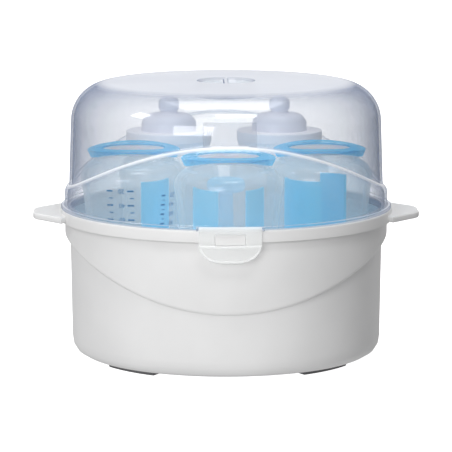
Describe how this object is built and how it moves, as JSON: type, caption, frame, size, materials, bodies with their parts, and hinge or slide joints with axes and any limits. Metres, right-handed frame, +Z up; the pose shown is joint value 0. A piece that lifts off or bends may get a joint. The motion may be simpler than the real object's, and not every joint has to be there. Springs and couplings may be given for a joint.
{
  "type": "bottle sterilizer",
  "caption": "Microwave steam sterilizer: round white bowl with ear handles, translucent domed lid with hinged clips, and a blue rack that holds baby bottles in a ring.",
  "frame": {"origin": "centre of the footprint, on the plane that the feet stand on", "axes": "+Z up, the front with the visible clip faces -Y, the ear handles lie along X"},
  "size_m": [0.28, 0.2466, 0.2],
  "materials": {
    "bowl_white": "smooth glossy white moulding",
    "foot_grey": "matt dark grey pads",
    "lid_tinted": "glossy translucent blue-grey",
    "clip_natural": "satin translucent natural white",
    "rack_blue": "satin blue moulding",
    "bottle_frosted": "frosted translucent",
    "cap_blue": "glossy blue",
    "valve_silicone": "soft translucent silicone",
    "ring_white": "satin white moulding",
    "nipple_silicone": "soft translucent silicone"
  },
  "bodies": {
    "base": {"base_bowl": "bowl_white", "foot_front_right": "foot_grey", "foot_rear_right": "foot_grey", "foot_rear_left": "foot_grey", "foot_front_left": "foot_grey"},
    "lid": {"lid_dome": "lid_tinted"},
    "front_clip": {"front_clip": "clip_natural"},
    "rear_clip": {"rear_clip": "clip_natural"},
    "rack": {"rack_tray": "rack_blue", "rack_stem": "rack_blue", "rack_leg_1": "rack_blue", "rack_leg_2": "rack_blue", "rack_leg_3": "rack_blue", "rack_leg_4": "rack_blue", "rack_leg_5": "rack_blue", "bottle_peg_front": "rack_blue", "bottle_peg_right": "rack_blue", "bottle_peg_left": "rack_blue"},
    "bottle_front": {"bottle_body_front": "bottle_frosted", "base_cap_front": "cap_blue", "base_valve_front": "valve_silicone"},
    "bottle_right": {"bottle_body_right": "bottle_frosted", "base_cap_right": "cap_blue", "base_valve_right": "valve_silicone"},
    "bottle_left": {"bottle_body_left": "bottle_frosted", "base_cap_left": "cap_blue", "base_valve_left": "valve_silicone"},
    "bottle_rear_right": {"bottle_body_rear_right": "bottle_frosted", "base_cap_rear_right": "cap_blue", "base_valve_rear_right": "valve_silicone", "screw_ring_rear_right": "ring_white", "nipple_rear_right": "nipple_silicone"},
    "bottle_rear_left": {"bottle_body_rear_left": "bottle_frosted", "base_cap_rear_left": "cap_blue", "base_valve_rear_left": "valve_silicone", "screw_ring_rear_left": "ring_white", "nipple_rear_left": "nipple_silicone"}
  },
  "joints": [
    {"name": "lid_lift", "type": "slide", "parent": "base", "child": "lid", "axis": [0, 0, 1], "range_m": [0, 0.26]},
    {"name": "front_clip_hinge", "type": "hinge", "parent": "lid", "child": "front_clip", "pos_m": [0, -0.1219, 0.1099], "axis": [-1, 0, 0], "range_deg": [0, 115]},
    {"name": "rear_clip_hinge", "type": "hinge", "parent": "lid", "child": "rear_clip", "pos_m": [0, 0.1219, 0.1099], "axis": [1, 0, 0], "range_deg": [0, 115]},
    {"name": "rack_lift", "type": "slide", "parent": "base", "child": "rack", "axis": [0, 0, 1], "range_m": [0, 0.091]},
    {"name": "bottle_front_lift", "type": "slide", "parent": "rack", "child": "bottle_front", "axis": [0, 0, 1], "range_m": [0, 0.13]},
    {"name": "bottle_right_lift", "type": "slide", "parent": "rack", "child": "bottle_right", "axis": [0, 0, 1], "range_m": [0, 0.13]},
    {"name": "bottle_left_lift", "type": "slide", "parent": "rack", "child": "bottle_left", "axis": [0, 0, 1], "range_m": [0, 0.13]},
    {"name": "bottle_rear_right_lift", "type": "slide", "parent": "rack", "child": "bottle_rear_right", "axis": [0, 0, 1], "range_m": [0, 0.13]},
    {"name": "bottle_rear_left_lift", "type": "slide", "parent": "rack", "child": "bottle_rear_left", "axis": [0, 0, 1], "range_m": [0, 0.13]}
  ],
  "couplings": [
    {"joint": "rack_lift", "follows": "lid_lift", "ratio": 0.35},
    {"joint": "bottle_front_lift", "follows": "lid_lift", "ratio": 0.5},
    {"joint": "bottle_right_lift", "follows": "lid_lift", "ratio": 0.5},
    {"joint": "bottle_left_lift", "follows": "lid_lift", "ratio": 0.5},
    {"joint": "bottle_rear_right_lift", "follows": "lid_lift", "ratio": 0.5},
    {"joint": "bottle_rear_left_lift", "follows": "lid_lift", "ratio": 0.5}
  ]
}
